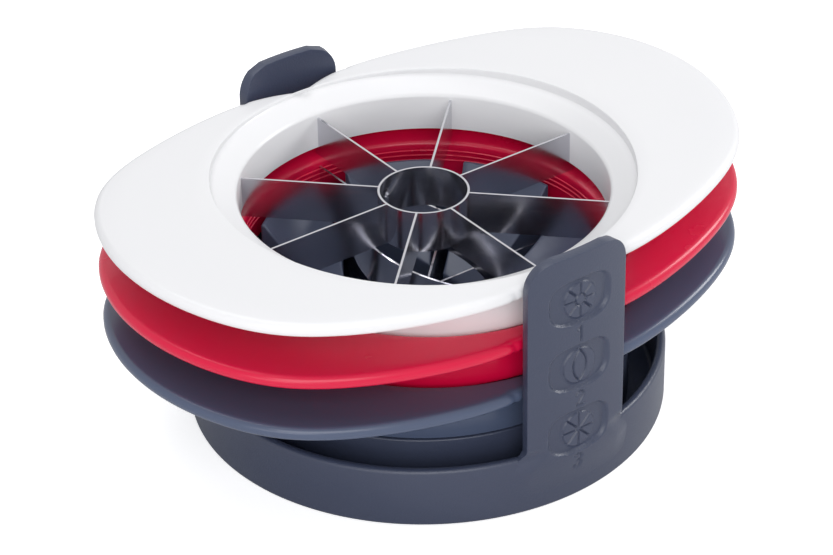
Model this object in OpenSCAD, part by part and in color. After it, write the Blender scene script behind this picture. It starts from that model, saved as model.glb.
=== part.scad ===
// Three-level fruit slicer set on a round push-through stand.
// Origin: middle of the stand's underside, +Z up, -Y towards the marked upright, +X along the grips.

/* [Slicer plates] */
// overall length of a plate, grip tip to grip tip
plate_l = 183; // [170:1:200]
// overall width of a plate at its middle
plate_w = 127.8; // [126:0.2:130]
// thickness of a plate
plate_t = 4; // [3:0.5:5]
// radius of the upward sweep of the grips
sweep_r = 912; // [700:10:1400]
// plan radius of the grip tip
tip_r = 64; // [60:0.5:72]
// plan radius of the long side
side_r = 156; // [140:1:200]
// radius of the cutting opening
open_r = 50; // [46:0.5:52]
// radius of the nesting recess in the plate's top
recess_r = 57; // [56.5:0.5:59]
// depth of the sloping part of the recess
recess_h = 3; // [2:0.5:4]
// height step from one plate to the next
pitch = 15.6; // [15.4:0.1:20]

/* [Blades] */
// blade strip thickness
blade_t = 0.6; // [0.5:0.1:1]
// blade strip height
blade_h = 11.9; // [8:0.1:12]
// outer radius of the core tube
core_r = 12.4; // [10:0.1:13]
// half width of the stone blade
stone_w = 13.9; // [12:0.1:18]
// plan radius of each stone blade
stone_r = 49.7; // [40:0.1:60]

/* [Stand] */
// outer radius of the tray
tray_r = 66; // [65.5:0.1:67]
// height of the tray rim
tray_h = 17.5; // [14:0.5:19]
// tray wall thickness
tray_t = 2.6; // [2:0.1:4]
// tray floor thickness
floor_t = 2.5; // [2:0.1:4]
// how far the two uprights stand proud of the tray's wall
post_proud = 1.5; // [1:0.1:4]
// thickness of the uprights
post_t = 3; // [2.6:0.1:3.1]
// width of the uprights
post_w = 32; // [24:1:34]
// height of the uprights
post_h = 76; // [70:1:100]
// radius of the top corners of the uprights
post_corner = 8; // [4:0.5:12]
// run beside an upright in which the tray's wall comes out to meet it
foot_run = 5; // [3:0.5:8]
// outer radius of the push pads
pad_r = 46.5; // [44:0.5:47.5]
// height of the push pads at their outer edge
pad_h = 45.5; // [43:0.5:46]
// wall thickness of the hollow push pads
pad_t = 2; // [1.6:0.1:3]
// radius of the bowl that the tops of the pads form together
bowl_r = 54; // [50:1:58]
// height of the bowl's lowest point, in the free middle
bowl_low = 20.7; // [20:0.1:22]
// gap in plan between the pads and the pointed oval blade above them
oval_gap = 2.5; // [2:0.1:3]

/* [Marks] */
// length of a marking field
field_w = 20; // [16:0.5:22]
// height of a marking field
field_h = 14; // [12:0.5:15]
// depth of a marking field
field_d = 1; // [0.6:0.1:1.2]
// radius of the round sign in a marking field
sign_r = 5.8; // [5:0.1:6]
// depth of the round sign's face below the upright's face
sign_d = 0.4; // [0.2:0.1:0.5]
// height of the top marking field's middle
field_z = 62; // [60:0.5:64]
// distance between marking fields
field_pitch = 20; // [19:0.5:20.5]

/* [Hidden] */
$fn = 96;
// number of wedge blades on the top slicer, and the angle between them
wedge_n = 8;
wedge_step = 360 / wedge_n;
// clearance between a slicer and what it stands on
nest_gap = 0.4;
// opening edge of the top slicer
edge_z = tray_h + 3 * pitch;
// plate top surface at the middle, above the opening edge
crown = recess_h + 1.1;
// highest rise of a grip's tip above the plate's middle
rise = plate_l * plate_l / (8 * sweep_r);
// blades sit this far below the opening edge
blade_drop = 1.5;
// depth the blades reach into the opening's wall
blade_in = 1.5;
// skirt under the plate
skirt_r = recess_r - 1.5;
skirt_flat = 2;
skirt_z = -pitch + recess_h * (skirt_r - open_r) / (recess_r - open_r) + nest_gap;
throat_z = skirt_z + 2;
// groove under the skirt
groove_r0 = open_r + 2;
groove_r1 = skirt_r - skirt_flat;
groove_top = -2.5;
// outer radius of the uprights
post_r = tray_r + post_proud;
// notch for the uprights: play behind them and on each side of them
notch_play = 0.6;
notch_side = 1;
notch_r = post_r - post_t - notch_play;
notch_w = post_w / 2 + notch_side;
// plan outline of a plate: centres of its arcs
tip_c = [plate_l / 2 - tip_r, 0];
side_c = [0, plate_w / 2 - side_r];
// stone blade
stone_c = stone_r - stone_w;
stone_tip = sqrt(stone_r * stone_r - stone_c * stone_c);
// full-width strips of the lowest slicer
strip_n = wedge_n / 2;
// top of the ring that the lowest slicer sits on
seat_z = edge_z - 2 * pitch + skirt_z - 0.3;
// centre of the pads' bowl
bowl_z = bowl_low + bowl_r;
// half angles of the slots between the pads, and of the wider ones under the oval's points
slot_a = 5.2;
point_a = 7;

// ---- plan outline shared by the three plates ----
module side_disc(s) {
  translate([0, s * side_c[1]]) circle(r = side_r, $fn = 360);
}

module plate_plan() {
  intersection() {
    union() {
      translate([tip_c[0], 0]) circle(r = tip_r, $fn = 180);
      translate([-tip_c[0], 0]) circle(r = tip_r, $fn = 180);
    }
    side_disc(1);
    side_disc(-1);
  }
}

module notched_plan() {
  difference() {
    plate_plan();
    difference() {
      square([2 * notch_w, 2 * plate_w], center = true);
      circle(r = notch_r, $fn = 180);
    }
  }
}

// bent sheet the plate is cut from: a thin shell between two large cylinders
module sweep_shell() {
  translate([0, plate_w, crown + sweep_r])
    rotate([90, 0, 0])
      difference() {
        cylinder(r = sweep_r + plate_t, h = 2 * plate_w, $fn = 720);
        translate([0, 0, -1]) cylinder(r = sweep_r, h = 2 * plate_w + 2, $fn = 720);
      }
}

// one slicer body, opening edge at z = 0
module slicer_body() {
  difference() {
    union() {
      intersection() {
        translate([0, 0, -plate_t]) linear_extrude(crown + plate_t + 2 * rise) notched_plan();
        sweep_shell();
      }
      translate([0, 0, skirt_z]) cylinder(r = skirt_r, h = crown - 0.8 - skirt_z);
    }
    translate([0, 0, skirt_z - 1]) cylinder(r = open_r, h = 3 * pitch);
    cylinder(r1 = open_r, r2 = recess_r, h = recess_h);
    translate([0, 0, recess_h]) cylinder(r = recess_r, h = 2 * rise);
    translate([0, 0, skirt_z])
      cylinder(r1 = groove_r1, r2 = open_r, h = throat_z - skirt_z);
    translate([0, 0, skirt_z - 1])
      difference() {
        cylinder(r = groove_r1, h = groove_top - skirt_z + 1);
        translate([0, 0, -1]) cylinder(r = groove_r0, h = groove_top - skirt_z + 3);
      }
  }
}

// slot that holds the end of a blade, pointing along +X
module blade_slot() {
  translate([open_r - 1, -blade_t / 2, -blade_drop - blade_h])
    cube([blade_in + 1, blade_t, blade_h]);
}

// ---- third slicer: four full-width strips crossing in the middle ----
module tomato_frame() {
  color("#565B68") translate([0, 0, edge_z - 2 * pitch])
    difference() {
      slicer_body();
      for (k = [0:wedge_n - 1]) rotate(k * wedge_step) blade_slot();
    }
}

// the strips cross in four bands of height, and each is notched over and under its own band
module tomato_blade(k) {
  reach = open_r + blade_in;
  band = blade_h / strip_n;
  notch = 1.5 * blade_t;
  color("#C9CCD0") translate([0, 0, edge_z - 2 * pitch - blade_drop - blade_h])
    rotate([90, 0, k * wedge_step])
      translate([0, 0, -blade_t / 2])
        linear_extrude(blade_t)
          difference() {
            translate([-reach, 0]) square([2 * reach, blade_h]);
            if (k > 0) translate([-notch, -band]) square([2 * notch, (k + 1) * band]);
            if (k < strip_n - 1) translate([-notch, (k + 1) * band]) square([2 * notch, blade_h]);
          }
}

// ---- second slicer: pointed oval blade around the stone ----
module mango_frame() {
  color("#C4122F") translate([0, 0, edge_z - pitch])
    difference() {
      slicer_body();
      for (a = [90, 270]) rotate(a) blade_slot();
    }
}

module stone_half() {
  intersection() {
    translate([stone_c, 0])
      difference() {
        circle(r = stone_r, $fn = 360);
        circle(r = stone_r - blade_t, $fn = 360);
      }
    translate([-2 * stone_w, -stone_r]) square([2 * stone_w, 2 * stone_r]);
  }
}

module stone_blade_left() {
  color("#C9CCD0") translate([0, 0, edge_z - pitch - blade_drop - blade_h])
    linear_extrude(blade_h) stone_half();
}

module stone_blade_right() {
  color("#C9CCD0") translate([0, 0, edge_z - pitch - blade_drop - blade_h])
    linear_extrude(blade_h) mirror([1, 0]) stone_half();
}

// pointed oval of the stone blades' outer faces, widened by a gap
module oval_plan(gap) {
  intersection() {
    translate([-stone_c, 0]) circle(r = stone_r + gap, $fn = 360);
    translate([stone_c, 0]) circle(r = stone_r + gap, $fn = 360);
  }
}

// short strip from the wall to the point of the oval, whose outer faces it fits
module tip_blade() {
  y0 = stone_tip - blade_t / 2;
  translate([0, 0, edge_z - pitch - blade_drop - blade_h])
    linear_extrude(blade_h)
      difference() {
        translate([-blade_t / 2, y0]) square([blade_t, open_r + blade_in - y0]);
        oval_plan(0);
      }
}

module tip_blade_front() {
  color("#C9CCD0") mirror([0, 1, 0]) tip_blade();
}

module tip_blade_rear() {
  color("#C9CCD0") tip_blade();
}

// ---- top slicer: wedges round a core tube ----
module wedge_frame() {
  color("#F2F2F0") translate([0, 0, edge_z])
    difference() {
      slicer_body();
      for (k = [0:wedge_n - 1]) rotate(k * wedge_step) blade_slot();
    }
}

module core_ring() {
  color("#C9CCD0") translate([0, 0, edge_z - blade_drop - blade_h])
    difference() {
      cylinder(r = core_r, h = blade_h);
      translate([0, 0, -1]) cylinder(r = core_r - blade_t, h = blade_h + 2);
    }
}

module wedge_blade(k) {
  r0 = core_r - 0.01;
  color("#C9CCD0") rotate(k * wedge_step)
    translate([r0, -blade_t / 2, edge_z - blade_drop - blade_h])
      cube([open_r + blade_in - r0, blade_t, blade_h]);
}

// ---- stand ----
module post_plan() {
  r = post_corner;
  w = post_w / 2;
  translate([-w, 0]) square([post_w, post_h - r]);
  translate([-w + r, 0]) square([post_w - 2 * r, post_h]);
  for (s = [-1, 1]) translate([s * (w - r), post_h - r]) circle(r = r);
}

// plan of the front upright's foot, with slanting sides that run into the tray's wall
module foot_plan() {
  x0 = post_w / 2;
  x1 = x0 + foot_run;
  r0 = post_r - post_proud / 3;
  r1 = tray_r - tray_t / 2;
  y0 = -sqrt(r0 * r0 - x0 * x0);
  y1 = -sqrt(r1 * r1 - x1 * x1);
  polygon([[-x1, y1 + foot_run], [-x1, y1], [-x0, y0], [-x0, -post_r], [x0, -post_r], [x0, y0], [x1, y1],
    [x1, y1 + foot_run]]);
}

// outer form of the uprights: inside the tray's wall at the table, proud of it from the rim up
module upright_form() {
  cylinder(r1 = tray_r - post_proud / 3, r2 = post_r, h = tray_h, $fn = 180);
  translate([0, 0, tray_h]) cylinder(r = post_r, h = post_h - tray_h, $fn = 180);
}

module posts() {
  intersection() {
    difference() {
      upright_form();
      translate([0, 0, -1]) cylinder(r = post_r - post_t, h = post_h + 2, $fn = 180);
    }
    union() {
      translate([0, 2 * tray_r, 0]) rotate([90, 0, 0]) linear_extrude(4 * tray_r) post_plan();
      linear_extrude(tray_h) foot_plan();
      linear_extrude(tray_h) mirror([0, 1]) foot_plan();
    }
  }
}

// rounded field, seen from the front
module field_plan() {
  r = field_h / 2 - 0.5;
  x = field_w / 2 - r;
  translate([-x, -field_h / 2]) square([2 * x, field_h]);
  translate([-field_w / 2, -field_h / 2 + r]) square([field_w, field_h - 2 * r]);
  for (sx = [-1, 1], sy = [-1, 1]) translate([sx * x, sy * (field_h / 2 - r)]) circle(r = r);
}

// sunk marking fields of the front upright, each round a flat round sign
module fields() {
  for (k = [0:2])
    translate([0, 0, field_z - k * field_pitch])
      difference() {
        translate([0, -post_r + 5 * field_d, 0]) rotate([90, 0, 0]) linear_extrude(10 * field_d) field_plan();
        translate([0, 0, -field_h]) cylinder(r = post_r - field_d, h = 2 * field_h, $fn = 180);
        translate([0, -post_r + sign_d, 0]) rotate([-90, 0, 0]) cylinder(r = sign_r, h = 5 * field_d);
      }
}

// wedge with straight rays, shifted out along its middle by the wall
module ray_wedge(a0, a1, wall) {
  half = (a1 - a0) / 2;
  reach = 2 * pad_r;
  rotate((a0 + a1) / 2)
    translate([wall / sin(half), 0])
      polygon([[0, 0], [reach * cos(half), reach * sin(half)], [reach * cos(half), -reach * sin(half)]]);
}

// pad between two rays, outside the oval, with the bowl as its top; or with a wall, the hollow in it
module pad(a0, a1, wall) {
  z0 = wall > 0 ? -1 : floor_t;
  difference() {
    intersection() {
      translate([0, 0, z0]) cylinder(r = pad_r - wall, h = pad_h - wall - z0, $fn = 180);
      translate([0, 0, -2]) linear_extrude(2 * pad_h) ray_wedge(a0, a1, wall);
    }
    translate([0, 0, bowl_z]) sphere(r = bowl_r + wall);
    translate([0, 0, -3]) linear_extrude(pad_h) oval_plan(oval_gap + wall);
  }
}

module quarter_pads(wall) {
  pad(slot_a, wedge_step - slot_a, wall);
  pad(wedge_step + slot_a, 90 - point_a, wall);
}

module four_ways() {
  for (sx = [0, 1], sy = [0, 1]) mirror([sx, 0, 0]) mirror([0, sy, 0]) children();
}

module stand() {
  color("#474B5A")
    difference() {
      union() {
        difference() {
          cylinder(r = tray_r, h = tray_h, $fn = 180);
          translate([0, 0, floor_t]) cylinder(r = tray_r - tray_t, h = tray_h, $fn = 180);
        }
        difference() {
          cylinder(r = skirt_r, h = seat_z, $fn = 180);
          translate([0, 0, floor_t]) cylinder(r = groove_r1, h = seat_z, $fn = 180);
        }
        posts();
      }
      four_ways() quarter_pads(pad_t);
      fields();
    }
}

module push_pads() {
  color("#474B5A")
    difference() {
      four_ways() quarter_pads(0);
      four_ways() quarter_pads(pad_t);
    }
}

stand();
push_pads();
tomato_frame();
tomato_blade(0);  // tomato_blade_1
tomato_blade(1);  // tomato_blade_2
tomato_blade(2);  // tomato_blade_3
tomato_blade(3);  // tomato_blade_4
mango_frame();
stone_blade_left();
stone_blade_right();
tip_blade_front();
tip_blade_rear();
wedge_frame();
core_ring();
wedge_blade(0);  // wedge_blade_1
wedge_blade(1);  // wedge_blade_2
wedge_blade(2);  // wedge_blade_3
wedge_blade(3);  // wedge_blade_4
wedge_blade(4);  // wedge_blade_5
wedge_blade(5);  // wedge_blade_6
wedge_blade(6);  // wedge_blade_7
wedge_blade(7);  // wedge_blade_8
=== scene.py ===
import math

import bmesh
import bpy
from mathutils import Matrix, Vector


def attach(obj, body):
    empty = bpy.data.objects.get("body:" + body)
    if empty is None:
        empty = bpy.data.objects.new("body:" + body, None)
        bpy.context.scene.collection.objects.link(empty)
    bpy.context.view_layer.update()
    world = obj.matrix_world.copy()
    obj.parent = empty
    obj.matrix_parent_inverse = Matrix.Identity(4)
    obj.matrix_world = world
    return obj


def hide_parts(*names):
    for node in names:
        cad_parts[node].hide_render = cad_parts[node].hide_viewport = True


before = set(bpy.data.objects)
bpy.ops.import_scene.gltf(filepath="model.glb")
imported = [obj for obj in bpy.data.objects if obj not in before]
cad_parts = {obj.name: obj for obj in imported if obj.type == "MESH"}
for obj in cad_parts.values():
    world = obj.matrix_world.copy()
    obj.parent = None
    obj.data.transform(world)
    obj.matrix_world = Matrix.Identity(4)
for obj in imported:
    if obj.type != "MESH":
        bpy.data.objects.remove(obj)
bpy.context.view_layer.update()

# ---- The camera -----------------------------------------------------------------------------------
# A long lens looks down at the set from the front left, so that the marked upright stands right of the
# middle and the cutting opening is seen from above.
MM = 0.001
CAMERA_TURN = math.radians(-35.5)
CAMERA_RISE = math.radians(32.4)
CAMERA_ROLL = math.radians(1.2)
CAMERA_DISTANCE = 780 * MM
CAMERA_AIM = Vector((0, 0, 40 * MM))
CAMERA_SHIFT = (-2.4 * MM, -4.3 * MM)
CLIP_START = 10 * MM
PHOTO_WIDTH_PX = 833
FOCAL_PX = 2862
SENSOR_MM = 36

back = Vector((math.sin(CAMERA_TURN) * math.cos(CAMERA_RISE),
               -math.cos(CAMERA_TURN) * math.cos(CAMERA_RISE),
               math.sin(CAMERA_RISE)))
right = Vector((math.cos(CAMERA_TURN), math.sin(CAMERA_TURN), 0))
up = back.cross(right)
camera_data = bpy.data.cameras.new("camera")
camera_data.sensor_width = SENSOR_MM
camera_data.lens = FOCAL_PX / PHOTO_WIDTH_PX * SENSOR_MM
camera_data.clip_start = CLIP_START
camera = bpy.data.objects.new("camera", camera_data)
turned = (Matrix((right, up, back)).transposed().to_4x4()
          @ Matrix.Rotation(-CAMERA_ROLL, 4, "Z"))
turned.translation = (CAMERA_AIM + back * CAMERA_DISTANCE
                      + right * CAMERA_SHIFT[0] + up * CAMERA_SHIFT[1])
camera.matrix_world = turned
bpy.context.collection.objects.link(camera)
bpy.context.scene.camera = camera
bpy.context.scene.view_settings.view_transform = "Standard"

# ---- The stand's tray -----------------------------------------------------------------------------
# One injection moulding in dark grey-blue ABS with a fine spark-eroded grain: a round tray with a rim,
# and inside it a ring, a little taller than the rim, that the bottom slicer sits on.
# Sizes from here on are millimetres, which MM turns to metres.
PLASTIC_IOR = 1.46
COLOUR_DRIFT = 45
TOUCH_MARK = 14
WELD = 0.002
LATHE_STEPS = 180


def linear(hex_colour):
    """A colour written as sRGB hex, as the linear values that the shader takes."""
    parts = [int(hex_colour[i:i + 2], 16) / 255 for i in (1, 3, 5)]
    return tuple(c / 12.92 if c <= 0.04045 else ((c + 0.055) / 1.055) ** 2.4 for c in parts) + (1.0,)


def add(tree, kind, settings=None, **inputs):
    """Adds a node, sets its properties, and sets or links each input, by name or as i and a number."""
    node = tree.nodes.new(kind)
    for name, value in (settings or {}).items():
        setattr(node, name, value)
    for name, value in inputs.items():
        socket = node.inputs[int(name[1:])] if name[0] == "i" and name[1:].isdigit() \
            else node.inputs[name.replace("_", " ")]
        if isinstance(value, bpy.types.NodeSocket):
            tree.links.new(value, socket)
        else:
            socket.default_value = value
    return node


def new_material(name):
    """An empty node material and its tree."""
    material = bpy.data.materials.new(name)
    material.use_nodes = True
    material.node_tree.nodes.clear()
    return material, material.node_tree


def moulded_plastic(name, colour, shade, roughness, grain, grain_depth, smudge):
    """Moulded plastic: a colour that drifts a little, a grain, and a gloss broken by handling."""
    material, tree = new_material(name)
    place = add(tree, "ShaderNodeTexCoord").outputs["Object"]
    drift = add(tree, "ShaderNodeTexNoise", Vector=place, Scale=1 / (COLOUR_DRIFT * MM), Detail=2.0)
    tint = add(tree, "ShaderNodeMix", {"data_type": "RGBA"}, Factor=drift.outputs["Fac"])
    tint.inputs["A"].default_value = linear(colour)
    tint.inputs["B"].default_value = linear(shade)
    touch = add(tree, "ShaderNodeTexNoise", Vector=place, Scale=1 / (TOUCH_MARK * MM), Detail=4.0)
    gloss = add(tree, "ShaderNodeMapRange", Value=touch.outputs["Fac"])
    gloss.inputs["To Min"].default_value = roughness - smudge
    gloss.inputs["To Max"].default_value = roughness + smudge
    pits = add(tree, "ShaderNodeTexNoise", Vector=place, Scale=1 / (grain * MM), Detail=3.0)
    bump = add(tree, "ShaderNodeBump", Height=pits.outputs["Fac"], Distance=grain_depth * MM,
               Strength=1.0)
    shader = add(tree, "ShaderNodeBsdfPrincipled", Base_Color=tint.outputs["Result"],
                 Roughness=gloss.outputs["Result"], IOR=PLASTIC_IOR, Normal=bump.outputs["Normal"])
    add(tree, "ShaderNodeOutputMaterial", Surface=shader.outputs["BSDF"])
    return material


def keep(bm, name, material, body, node, smooth_deg=40):
    """Turns a finished bmesh into a piece that rides on a body and stands for a CAD node."""
    bmesh.ops.remove_doubles(bm, verts=bm.verts, dist=WELD * MM)
    bmesh.ops.recalc_face_normals(bm, faces=bm.faces)
    mesh = bpy.data.meshes.new(name)
    bm.to_mesh(mesh)
    bm.free()
    piece = bpy.data.objects.new(name, mesh)
    bpy.context.collection.objects.link(piece)
    mesh.materials.append(material)
    mesh.shade_smooth()
    mesh.set_sharp_from_angle(angle=math.radians(smooth_deg))
    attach(piece, body)
    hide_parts(node)


def lathe(bm, profile):
    """Spins a profile of (radius, height) points, whose two ends lie on the axis, about Z."""
    line = [bm.verts.new((r * MM, 0, z * MM)) for r, z in profile]
    edges = [bm.edges.new((a, b)) for a, b in zip(line, line[1:])]
    bmesh.ops.spin(bm, geom=line + edges, cent=(0, 0, 0), axis=(0, 0, 1), angle=math.tau,
                   steps=LATHE_STEPS, use_merge=True)


def arc(cx, cz, r, start_deg, end_deg, steps=6):
    """Points of a rounded corner in a profile."""
    return [(cx + r * math.cos(math.radians(start_deg + (end_deg - start_deg) * i / steps)),
             cz + r * math.sin(math.radians(start_deg + (end_deg - start_deg) * i / steps)))
            for i in range(steps + 1)]


TRAY_R = 66.0
TRAY_H = 17.5
TRAY_WALL = 2.6
FLOOR = 2.5
BASE_ROUND = 1.0
BASE_FLAT = 0.2
RIM_ROUND = 1.2
ROOT_ROUND = 1.5
SEAT_R = 55.5
SEAT_WALL = 2.0
SEAT_H = 19.95
SEAT_ROUND = 0.5
SEAT_DRAFT = 0.6

# A satin dark plastic whose grain breaks up the highlights. A spark-eroded grain is finer than this and
# wouldn't show, so it is drawn half a millimetre wide.
abs_dark = moulded_plastic("spark_grained_ABS_dark", "#3A4055", "#41485C", 0.32, 0.5, 0.08, 0.06)

bm = bmesh.new()
lathe(bm, [(0.0, 0.0), (TRAY_R - BASE_ROUND - BASE_FLAT, 0.0)]
      + arc(TRAY_R - BASE_ROUND, BASE_ROUND, BASE_ROUND, -90, 0)
      + arc(TRAY_R - RIM_ROUND, TRAY_H - RIM_ROUND, RIM_ROUND, 0, 90)
      + arc(TRAY_R - TRAY_WALL + RIM_ROUND, TRAY_H - RIM_ROUND, RIM_ROUND, 90, 180)
      + arc(TRAY_R - TRAY_WALL - ROOT_ROUND, FLOOR + ROOT_ROUND, ROOT_ROUND, 0, -90)
      + [(SEAT_R + SEAT_DRAFT, FLOOR)]
      + arc(SEAT_R - SEAT_ROUND, SEAT_H - SEAT_ROUND, SEAT_ROUND, 0, 90)
      + arc(SEAT_R - SEAT_WALL + SEAT_ROUND, SEAT_H - SEAT_ROUND, SEAT_ROUND, 90, 180)
      + [(SEAT_R - SEAT_WALL, FLOOR), (0.0, FLOOR)])
keep(bm, "stand_tray", abs_dark, "stand", "stand")

# ---- The two uprights -----------------------------------------------------------------------------
# They rise out of the tray wall in the same moulding, which swells out to meet them, and the plates'
# notches run between them. The front one has a sunk field with a sign and a number for each blade layout.
POST_R = 67.5
POST_T = 3.0
POST_W = 32.0
POST_H = 76.0
POST_CORNER = 8.0
POST_ROUND = 0.7
FOOT_START = 3.0
FOOT_SINK = 0.1
FOOT_RUN = 6.0
FOOT_LOW = 12.0
FOOT_HIGH = 20.0
SIDE_RUN = 8.0
PROUD_LOW = TRAY_H - 1.0
PROUD_HIGH = FOOT_HIGH + 1.0
FIELD_TOP_Z = 62.0
FIELD_PITCH = 20.0
FIELD_W = 20.5
FIELD_H = 14.0
FIELD_DEPTH = 1.1
# the field's slope as a share of its half size, and the power of its outline, where 2 is an oval
FIELD_SLOPE = 0.12
FIELD_POWER = 3
DISC_R = 5.8
DISC_DEPTH = 0.4
DISC_SLOPE = 0.4
LINE_DEPTH = 0.5
LINE_HALF = 0.4
LINE_SLOPE = 0.3
SPOKES = 8
HUB_R = 1.6
OVAL_R = 6.3
OVAL_HALF = 2.1
WEDGE_SIGN, OVAL_SIGN, SEGMENT_SIGN = range(3)
NUMBER_DROP = 10.0
NUMBER_SCALE = 1.25
NUMBER_SLOPE = 0.35
NUMBER_REACH = 2.5
# the strokes of the numbers 1, 2 and 3, each about its own middle
NUMBERS = [
    [(-0.7, 0.9), (0.1, 1.7), (0.1, -1.7)],
    [(-0.9, 0.9), (-0.6, 1.5), (0.0, 1.7), (0.7, 1.5), (0.95, 0.8), (0.6, 0.1), (-0.9, -1.7), (1.0, -1.7)],
    [(-0.9, 1.4), (-0.3, 1.7), (0.5, 1.6), (0.85, 0.95), (0.5, 0.3), (-0.1, 0.1), (0.6, -0.1),
     (0.95, -0.85), (0.55, -1.55), (-0.2, -1.7), (-0.95, -1.35)],
]
# mesh steps across and up a face; on the marked face, the middle and half width of the marked part as
# shares of the face, and the share of the steps that fall in it
PLAIN_STEPS = (32, 60)
MARKED_STEPS = (120, 300)
MARKED_ACROSS = (0.5, 0.34, 0.88)
MARKED_UP = (0.51, 0.395, 0.93)
POST_CREASE = math.radians(55)


def smooth(t):
    """Eases from 0 to 1."""
    t = min(max(t, 0.0), 1.0)
    return t * t * (3 - 2 * t)


def post_halfwidth(z):
    """Half the width of an upright at a height: flared at the foot, rounded at the top corners."""
    drop = z - (POST_H - POST_CORNER)
    if drop > 0:
        return POST_W / 2 - POST_CORNER + math.sqrt(max(POST_CORNER ** 2 - drop ** 2, 0))
    return POST_W / 2 + FOOT_RUN * (1 - smooth((z - FOOT_LOW) / (FOOT_HIGH - FOOT_LOW)))


def post_radius(x, z):
    """Radius of an upright's outer face, which sinks into the tray's wall at its foot and sides."""
    side = smooth((post_halfwidth(z) - abs(x)) / SIDE_RUN)
    above = smooth((z - PROUD_LOW) / (PROUD_HIGH - PROUD_LOW))
    share = smooth((z - FOOT_START) / (TRAY_H - FOOT_START)) * (side + (1 - side) * above)
    return TRAY_R - FOOT_SINK + (POST_R - TRAY_R + FOOT_SINK) * share


def to_segment(x, z, start, end):
    """Distance from a place to a straight stroke."""
    ax, az, bx, bz = *start, *end
    along = ((x - ax) * (bx - ax) + (z - az) * (bz - az)) / ((bx - ax) ** 2 + (bz - az) ** 2)
    along = min(max(along, 0.0), 1.0)
    return math.hypot(x - ax - along * (bx - ax), z - az - along * (bz - az))


def to_sign_line(sign, x, z):
    """Distance to the nearest line of a sign: wedges round a core, a stone's oval, or eight segments."""
    reach = math.hypot(x, z)
    near = abs(reach - DISC_R + LINE_HALF)
    if sign == OVAL_SIGN:
        centre = OVAL_R - OVAL_HALF
        tip = math.sqrt(OVAL_R ** 2 - centre ** 2)
        if abs(z) < tip:
            return min(near, abs(math.hypot(abs(x) + centre, z) - OVAL_R))
        return min(near, abs(x))
    if sign == SEGMENT_SIGN or reach > HUB_R:
        step = math.tau / SPOKES
        spoke = math.fmod(math.atan2(z, x) + math.tau + step / 2, step) - step / 2
        near = min(near, reach * abs(math.sin(spoke)))
    if sign == WEDGE_SIGN:
        near = min(near, abs(reach - HUB_R))
    return near


def mark_depth(x, z):
    """How far the front upright's face is sunk at a place."""
    depth = 0.0
    for sign, strokes in enumerate(NUMBERS):
        dz = z - (FIELD_TOP_Z - sign * FIELD_PITCH)
        inside = 1 - ((abs(x) / (FIELD_W / 2)) ** FIELD_POWER
                      + (abs(dz) / (FIELD_H / 2)) ** FIELD_POWER) ** (1 / FIELD_POWER)
        field = FIELD_DEPTH * smooth(inside / FIELD_SLOPE)
        if field > 0:
            disc = smooth((DISC_R - math.hypot(x, dz)) / DISC_SLOPE)
            line = LINE_DEPTH * smooth((LINE_HALF - to_sign_line(sign, x, dz)) / LINE_SLOPE)
            depth = max(depth, field + disc * (DISC_DEPTH - FIELD_DEPTH + line))
        nx, nz = x / NUMBER_SCALE, (dz + NUMBER_DROP) / NUMBER_SCALE
        if max(abs(nx), abs(nz)) < NUMBER_REACH:
            near = min(to_segment(nx, nz, start, end) for start, end in zip(strokes, strokes[1:]))
            depth = max(depth, LINE_DEPTH * smooth((LINE_HALF - near) / NUMBER_SLOPE))
    return depth


def crowd(t, centre, half, share):
    """Spreads even steps from 0 to 1 so that a share of them falls within a half width round a centre."""
    low, high = centre - half, centre + half
    first = (1 - share) * low / (1 - 2 * half)
    if t < first:
        return t / first * low
    if t < first + share:
        return low + (t - first) / share * (high - low)
    return high + (t - first - share) / (1 - first - share) * (1 - high)


def round_edges(bm, edges, radius):
    """Rounds the edges of a moulding."""
    bmesh.ops.bevel(bm, geom=edges, offset=radius * MM, offset_type="OFFSET", segments=3, profile=0.5,
                    affect="EDGES", clamp_overlap=True, material=-1)


def upright(name, marked, turn):
    """A curved upright: its outer face bent from a flat grid, given its wall, and rounded all round."""
    across_steps, up_steps = MARKED_STEPS if marked else PLAIN_STEPS
    bm = bmesh.new()
    bmesh.ops.create_grid(bm, x_segments=across_steps, y_segments=up_steps, size=0.5)
    for v in bm.verts:
        across, rise = v.co.x + 0.5, v.co.y + 0.5
        if marked:
            across, rise = crowd(across, *MARKED_ACROSS), crowd(rise, *MARKED_UP)
        z = FOOT_START + rise * (POST_H - FOOT_START)
        x = (2 * across - 1) * post_halfwidth(z)
        r = post_radius(x, z) - (mark_depth(x, z) if marked else 0.0)
        bent = x / POST_R
        v.co = Vector((r * math.sin(bent), -r * math.cos(bent), z)) * MM
    rim = [e for e in bm.edges if e.is_boundary]
    made = bmesh.ops.extrude_face_region(bm, geom=bm.faces[:])["geom"]
    inner = {g for g in made if isinstance(g, bmesh.types.BMVert)}
    for v in inner:
        bent = math.atan2(v.co.x, -v.co.y)
        r = (POST_R - POST_T) * MM
        v.co.x, v.co.y = r * math.sin(bent), -r * math.cos(bent)
    bmesh.ops.recalc_face_normals(bm, faces=bm.faces)
    rim += [e for e in bm.edges if e.verts[0] in inner and e.verts[1] in inner
            and e.calc_face_angle(0) > POST_CREASE]
    round_edges(bm, rim, POST_ROUND)
    bmesh.ops.rotate(bm, verts=bm.verts, cent=(0, 0, 0), matrix=Matrix.Rotation(turn, 3, "Z"))
    keep(bm, name, abs_dark, "stand", "stand")


upright("stand_upright_front", True, 0)
upright("stand_upright_rear", False, math.pi)

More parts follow.
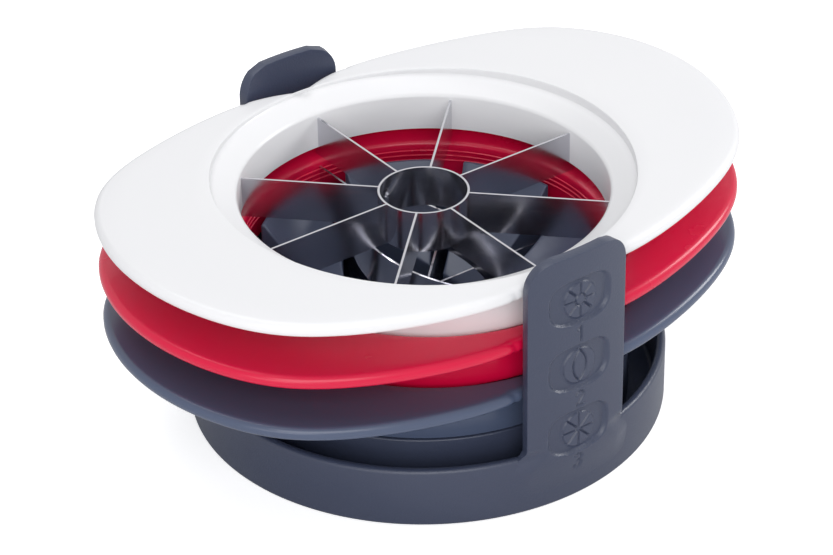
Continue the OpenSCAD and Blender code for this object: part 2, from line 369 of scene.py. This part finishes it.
# ---- The push pads --------------------------------------------------------------------------------
# Eight ABS wedges round a free pointed oval, moulded with the tray, whose tops together form a bowl.
# They push the last of the fruit through the blades, which run in the slots between them.
PAD_R = 46.5
PAD_H = 45.5
PAD_ROUND = 0.5
PAD_SINK = 0.5
PAD_COLS = 14
PAD_ROWS = 13
PAD_CREASE = math.radians(40)
BOWL_R = 54.0
BOWL_LOW = 20.7
BOWL_Z = BOWL_LOW + BOWL_R
# radius of the last ring of the bowl, just before it reaches the pads' full height
BOWL_EDGE = 45.4
SLOT_HALF_DEG = 5.2
POINT_HALF_DEG = 7.0
STONE_R = 49.7
STONE_W = 13.9
OVAL_GAP = 2.5


def oval_reach(angle):
    """Distance from the middle to the free oval's edge."""
    centre = STONE_R - STONE_W
    along = centre * abs(math.cos(angle))
    return math.sqrt(along ** 2 - centre ** 2 + (STONE_R + OVAL_GAP) ** 2) - along


# The tray's smooth plastic with no grain to see, painted lighter for the light that falls on the pad tops.
abs_pads_painted_lighter = moulded_plastic("smooth_ABS_dark_painted_lighter", "#4D556B", "#535C72", 0.30, 0.5, 0.01, 0.06)

# two pads in a quarter, and their mirror images in the other three
spans = []
for low, high in [(SLOT_HALF_DEG, 45 - SLOT_HALF_DEG), (45 + SLOT_HALF_DEG, 90 - POINT_HALF_DEG)]:
    spans += [(low, high), (180 - high, 180 - low), (180 + low, 180 + high), (360 - high, 360 - low)]
bm = bmesh.new()
for low, high in spans:
    wedge = bmesh.new()
    bmesh.ops.create_grid(wedge, x_segments=PAD_COLS, y_segments=PAD_ROWS, size=0.5)
    for v in wedge.verts:
        angle = math.radians(low + (high - low) * (v.co.x + 0.5))
        row = round((v.co.y + 0.5) * PAD_ROWS)
        r, z = PAD_R, PAD_H
        if row < PAD_ROWS:
            start = oval_reach(angle)
            r = start + (BOWL_EDGE - start) * row / (PAD_ROWS - 1)
            z = min(PAD_H, BOWL_Z - math.sqrt(BOWL_R ** 2 - r ** 2))
        v.co = Vector((r * math.cos(angle), r * math.sin(angle), z)) * MM
    corners = [e for e in wedge.edges if e.is_boundary]
    made = bmesh.ops.extrude_face_region(wedge, geom=wedge.faces[:])["geom"]
    lower = {g for g in made if isinstance(g, bmesh.types.BMVert)}
    for v in lower:
        v.co.z = (FLOOR - PAD_SINK) * MM
    bmesh.ops.recalc_face_normals(wedge, faces=wedge.faces)
    corners += [e for e in wedge.edges if len(set(e.verts) & lower) == 1
                and e.calc_face_angle(0) > PAD_CREASE]
    round_edges(wedge, corners, PAD_ROUND)
    part = bpy.data.meshes.new("wedge")
    wedge.to_mesh(part)
    wedge.free()
    bm.from_mesh(part)
    bpy.data.meshes.remove(part)
keep(bm, "stand_push_pads", abs_pads_painted_lighter, "stand", "push_pads")

# ---- The three slicer plates ----------------------------------------------------------------------
# Each plate is one glossy ABS moulding: two swept-up grips, a round opening with a nesting recess in the
# top, a skirt below that sits in the recess of the plate beneath, and notches for the uprights.
PLATE_L = 183.0
PLATE_W = 127.8
PLATE_T = 4.0
SWEEP_R = 912.0
TIP_R = 64.0
SIDE_R = 156.0
CORNER_POWER = 40
OPEN_R = 50.0
RECESS_R = 57.0
RECESS_H = 3.0
PITCH = 15.6
NEST_GAP = 0.4
EDGE_Z = TRAY_H + 3 * PITCH
CROWN = RECESS_H + 1.1
SKIRT_R = RECESS_R - 1.5
SKIRT_Z = -PITCH + RECESS_H * (SKIRT_R - OPEN_R) / (RECESS_R - OPEN_R) + NEST_GAP
SKIRT_ROUND = 0.4
SKIRT_ROOT = 0.5
THROAT_Z = SKIRT_Z + 2
THROAT_FOOT = 0.9
GROOVE_OUT = SKIRT_R - 2
GROOVE_IN = OPEN_R + 2
GROOVE_TOP = -2.5
# rounded corners, as steps out and up from the opening's edge, the recess's foot and the recess's top
OPENING_ROUND = [(0.0, -0.8), (0.25, -0.2), (0.9, 0.3)]
RECESS_FOOT = [(-1.0, -0.5), (-0.3, -0.1), (0.0, 0.25)]
RECESS_TOP = [(0.0, -0.5), (0.2, -0.12), (0.6, 0.0)]
RIB_OUT = 0.25
RIB_FOOT = 0.35
RIB_HEAD = 0.15
RIB_HEIGHTS = (-5.6, -4.1, -2.6)
NOTCH_R = POST_R - POST_T - 0.6
NOTCH_HALF = POST_W / 2 + 1.0
NOTCH_ROUND = 0.8
LOOP_POINTS = 720
# the rounded rim's reach in plan, its steps, and the shares at which the flat faces are divided
RIM_IN = PLATE_T / 2 - 0.1
RIM_STEPS = 9
TOP_SHARES = (0.15, 0.35, 0.6, 0.8, 1.0)
UNDER_SHARES = (0.4, 0.8, 1.0)


def disc_reach(angle, cx, cy, r):
    """How far out a ray from the middle leaves a disc."""
    along = math.cos(angle) * cx + math.sin(angle) * cy
    return along + math.sqrt(along ** 2 - cx ** 2 - cy ** 2 + r ** 2)


def soft_min(a, b):
    """The smaller of two reaches, with the corner where they cross rounded off."""
    return (a ** -CORNER_POWER + b ** -CORNER_POWER) ** (-1 / CORNER_POWER)


def plan_reach(angle, inset):
    """Distance from the middle to the plate's edge, with its rounded corners and its two notches."""
    tip_c = PLATE_L / 2 - TIP_R
    side_c = PLATE_W / 2 - SIDE_R
    tip = max(disc_reach(angle, tip_c, 0, TIP_R - inset), disc_reach(angle, -tip_c, 0, TIP_R - inset))
    side = min(disc_reach(angle, 0, side_c, SIDE_R - inset), disc_reach(angle, 0, -side_c, SIDE_R - inset))
    reach = soft_min(tip, side)
    x = abs(reach * math.cos(angle))
    inside = smooth((NOTCH_HALF + inset + NOTCH_ROUND / 2 - x) / NOTCH_ROUND)
    notch = min(reach, NOTCH_R - inset)
    return reach * (1 - inside) + notch * inside


def sweep(x):
    """Height of the plate's top above the opening's edge, which rises towards the grip tips."""
    return CROWN + SWEEP_R - math.sqrt(SWEEP_R ** 2 - x ** 2)


def plate(name, level, material, body, node, ribs=()):
    """A plate, grown loop by loop: up the opening, out over the top, round the rim and back below."""
    top = EDGE_Z - level * PITCH
    bm = bmesh.new()
    ring = bmesh.ops.create_circle(bm, segments=LOOP_POINTS, radius=OPEN_R * MM)["verts"]
    edges = list({e for v in ring for e in v.link_edges})

    def settle(verts, reach, height):
        """Puts a loop's points at a reach that depends on their angle and a height that depends on x."""
        for v in verts:
            a = math.atan2(v.co.y, v.co.x)
            r = reach(a)
            x = r * math.cos(a)
            v.co = Vector((x * MM, r * math.sin(a) * MM, (top + height(x)) * MM))

    def grow(edges, reach, height):
        """Extrudes the last loop to a new one and gives the new loop's edges."""
        made = bmesh.ops.extrude_edge_only(bm, edges=edges)["geom"]
        settle([g for g in made if isinstance(g, bmesh.types.BMVert)], reach, height)
        return [g for g in made if isinstance(g, bmesh.types.BMEdge)
                and all(v in made for v in g.verts)]

    def round_at(r):
        """The same reach all round."""
        return lambda a: r

    def level_at(z):
        """The same height all along."""
        return lambda x: z

    opening = []
    for rib in ribs:
        opening += [(OPEN_R, rib - RIB_FOOT), (OPEN_R - RIB_OUT, rib - RIB_HEAD),
                    (OPEN_R - RIB_OUT, rib + RIB_HEAD), (OPEN_R, rib + RIB_FOOT)]
    opening += [(OPEN_R + out, rise) for out, rise in OPENING_ROUND]
    opening += [(RECESS_R + out, RECESS_H + rise) for out, rise in RECESS_FOOT]
    settle(ring, round_at(OPEN_R), level_at(THROAT_Z))
    for r, z in opening:
        edges = grow(edges, round_at(r), level_at(z))
    for out, rise in RECESS_TOP:
        edges = grow(edges, round_at(RECESS_R + out), lambda x, lift=rise: sweep(x) + lift)
    top_r = RECESS_R + RECESS_TOP[-1][0]
    for share in TOP_SHARES:
        edges = grow(edges, lambda a, s=share: top_r * (1 - s) + plan_reach(a, RIM_IN) * s, sweep)
    for step in range(1, RIM_STEPS + 1):
        turn = math.radians(90 - 180 / RIM_STEPS * step)
        out = RIM_IN * (1 - math.cos(turn))
        drop = PLATE_T / 2 * (1 - math.sin(turn))
        edges = grow(edges, lambda a, o=out: plan_reach(a, o), lambda x, d=drop: sweep(x) - d)
    for share in UNDER_SHARES:
        edges = grow(edges,
                     lambda a, s=share: plan_reach(a, RIM_IN) * (1 - s) + (SKIRT_R + SKIRT_ROOT) * s,
                     lambda x: sweep(x) - PLATE_T)
    edges = grow(edges, round_at(SKIRT_R), lambda x: sweep(x) - PLATE_T - SKIRT_ROUND)
    for r, z in [(SKIRT_R, SKIRT_Z + SKIRT_ROUND), (SKIRT_R - SKIRT_ROUND, SKIRT_Z), (GROOVE_OUT, SKIRT_Z),
                 (GROOVE_OUT, GROOVE_TOP), (GROOVE_IN, GROOVE_TOP), (GROOVE_IN, SKIRT_Z + THROAT_FOOT),
                 (OPEN_R, THROAT_Z)]:
        edges = grow(edges, round_at(r), level_at(z))
    keep(bm, name, material, body, node, smooth_deg=35)


# ABS from a polished mould: even and glossy, with soft-edged highlights and no grain to see.
abs_white = moulded_plastic("polished_ABS_white", "#EEEEEF", "#EBEBED", 0.30, 1.2, 0.003, 0.05)
abs_red = moulded_plastic("polished_ABS_red", "#DC0840", "#D4083C", 0.26, 1.2, 0.003, 0.04)
abs_grey = moulded_plastic("polished_ABS_grey", "#4A546C", "#505B74", 0.24, 1.2, 0.003, 0.04)
plate("bottom_slicer_plate", 2, abs_grey, "tomato_slicer", "tomato_frame")
plate("middle_slicer_plate", 1, abs_red, "mango_slicer", "mango_frame", RIB_HEIGHTS)
plate("top_slicer_plate", 0, abs_white, "wedge_slicer", "wedge_frame")

# ---- The blades -----------------------------------------------------------------------------------
# Strips of cold-rolled stainless steel, ground and mirror polished, moulded into the plates' walls and
# welded to the core tube. The polish leaves faint lines along each strip.
STREAK_LENGTH = 9
STREAK_SQUEEZE = 14.0
STREAK_DEPTH = 0.002
STEEL_ROUGHNESS = (0.13, 0.24)


def polished_strip(name):
    """Polished steel, whose gloss changes along fine level lines."""
    material, tree = new_material(name)
    place = add(tree, "ShaderNodeTexCoord").outputs["Object"]
    stretched = add(tree, "ShaderNodeMapping", Vector=place, Scale=(1.0, 1.0, STREAK_SQUEEZE))
    lines = add(tree, "ShaderNodeTexNoise", Vector=stretched.outputs["Vector"],
                Scale=1 / (STREAK_LENGTH * MM), Detail=3.0)
    rough = add(tree, "ShaderNodeMapRange", Value=lines.outputs["Fac"])
    rough.inputs["To Min"].default_value = STEEL_ROUGHNESS[0]
    rough.inputs["To Max"].default_value = STEEL_ROUGHNESS[1]
    bump = add(tree, "ShaderNodeBump", Height=lines.outputs["Fac"], Distance=STREAK_DEPTH * MM)
    shader = add(tree, "ShaderNodeBsdfPrincipled", Base_Color=linear("#CFCFD5"), Metallic=1.0,
                 Roughness=rough.outputs["Result"], Normal=bump.outputs["Normal"])
    add(tree, "ShaderNodeOutputMaterial", Surface=shader.outputs["BSDF"])
    return material


# Stainless steel that shows its surroundings a little darker and softer than they are.
steel = polished_strip("mirror_polished_stainless")
for name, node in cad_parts.items():
    if "blade" in name or name == "core_ring":
        node.data.materials.clear()
        node.data.materials.append(steel)

# ---- The table and the light ----------------------------------------------------------------------
# A white paper sweep under large soft lamps, one above and one in front, with a low one from the left
# that reaches in between the plates and a small one from the right.
TABLE_REACH = 4000 * MM
TABLE_GLOW = 0.6
ROOM_LIGHT = 0.44
WHITE_SEEN = 0.9

bm = bmesh.new()
bmesh.ops.create_grid(bm, x_segments=1, y_segments=1, size=TABLE_REACH)
mesh = bpy.data.meshes.new("table")
bm.to_mesh(mesh)
bm.free()
table = bpy.data.objects.new("table", mesh)
bpy.context.collection.objects.link(table)

# Matt white paper, which only the camera sees a little brighter, so that it turns to plain white.
material, tree = new_material("white_paper_sweep")
diffuse = add(tree, "ShaderNodeBsdfDiffuse", Color=linear("#F4F4F4"))
glow = add(tree, "ShaderNodeEmission", Color=(1, 1, 1, 1), Strength=TABLE_GLOW)
path = add(tree, "ShaderNodeLightPath")
both = add(tree, "ShaderNodeAddShader", i0=diffuse.outputs["BSDF"], i1=glow.outputs["Emission"])
seen = add(tree, "ShaderNodeMixShader", i0=path.outputs["Is Camera Ray"], i1=diffuse.outputs["BSDF"],
           i2=both.outputs["Shader"])
add(tree, "ShaderNodeOutputMaterial", Surface=seen.outputs["Shader"])
mesh.materials.append(material)

world = bpy.data.worlds.new("studio")
world.use_nodes = True
bpy.context.scene.world = world
tree = world.node_tree
tree.nodes.clear()
path = add(tree, "ShaderNodeLightPath")
direct = add(tree, "ShaderNodeMath", {"operation": "MAXIMUM"}, i0=path.outputs["Is Camera Ray"],
             i1=path.outputs["Is Glossy Ray"])
room = add(tree, "ShaderNodeBackground", Color=(0.96, 0.97, 1, 1), Strength=ROOM_LIGHT)
white = add(tree, "ShaderNodeBackground", Color=(1, 1, 1, 1), Strength=WHITE_SEEN)
mix = add(tree, "ShaderNodeMixShader", i0=direct.outputs["Value"], i1=room.outputs["Background"],
          i2=white.outputs["Background"])
add(tree, "ShaderNodeOutputWorld", Surface=mix.outputs["Shader"])


def softbox(name, place, size, watts):
    """A soft lamp aimed at the set, with its place and size in metres."""
    light = bpy.data.lights.new(name, "AREA")
    light.shape = "RECTANGLE"
    light.size, light.size_y = size
    light.energy = watts
    lamp = bpy.data.objects.new(name, light)
    lamp.location = place
    lamp.rotation_euler = (CAMERA_AIM - Vector(place)).to_track_quat("-Z", "Y").to_euler()
    bpy.context.collection.objects.link(lamp)


softbox("key_right", (0.8, -0.25, 0.5), (0.25, 0.4), 3.4)
softbox("top", (-0.1, 0.25, 1.0), (0.7, 0.7), 3.1)
softbox("front", (-0.5, -0.8, 0.6), (0.8, 0.6), 4.7)
softbox("low_left", (-0.75, -0.6, 0.15), (0.7, 0.25), 1.3)
